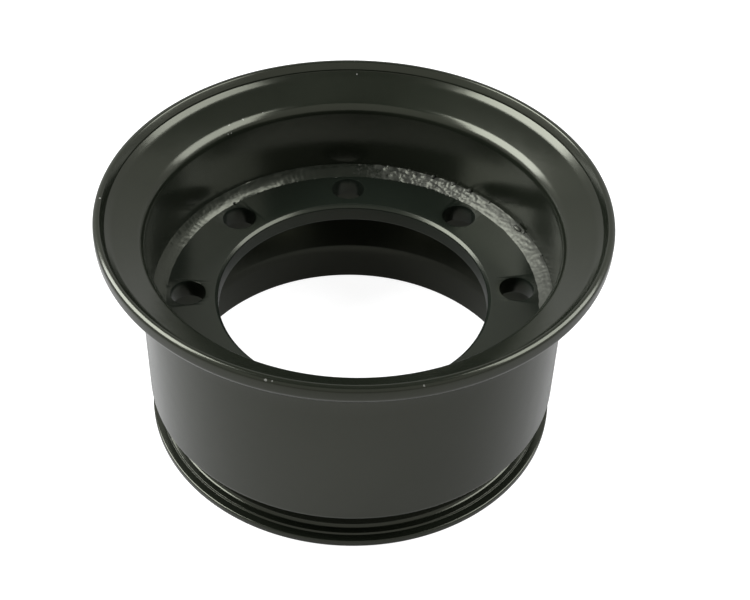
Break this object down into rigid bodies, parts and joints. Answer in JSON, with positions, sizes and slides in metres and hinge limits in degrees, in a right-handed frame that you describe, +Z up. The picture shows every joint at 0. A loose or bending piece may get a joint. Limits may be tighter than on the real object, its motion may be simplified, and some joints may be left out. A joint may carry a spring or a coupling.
{
  "type": "forklift wheel rim",
  "caption": "Steel industrial truck wheel rim with a fixed flange, an open gutter for a removable ring, and a welded flat disc with a centre bore and bolt holes.",
  "frame": {"origin": "on the wheel's axis, in the plane of the gutter end that the rim stands on", "axes": "+Z up along the wheel's axis towards the fixed flange, +X through the centre of a bolt hole"},
  "size_m": [0.456, 0.456, 0.238],
  "materials": {
    "rim_paint": "semi-gloss black paint over rolled steel",
    "disc_paint": "satin black paint over flat steel plate",
    "bead_paint": "thin black paint over weld ripples"
  },
  "bodies": {
    "root": {"rim_base": "rim_paint", "wheel_disc": "disc_paint", "upper_weld_bead": "bead_paint", "lower_weld_bead": "bead_paint"}
  },
  "joints": []
}
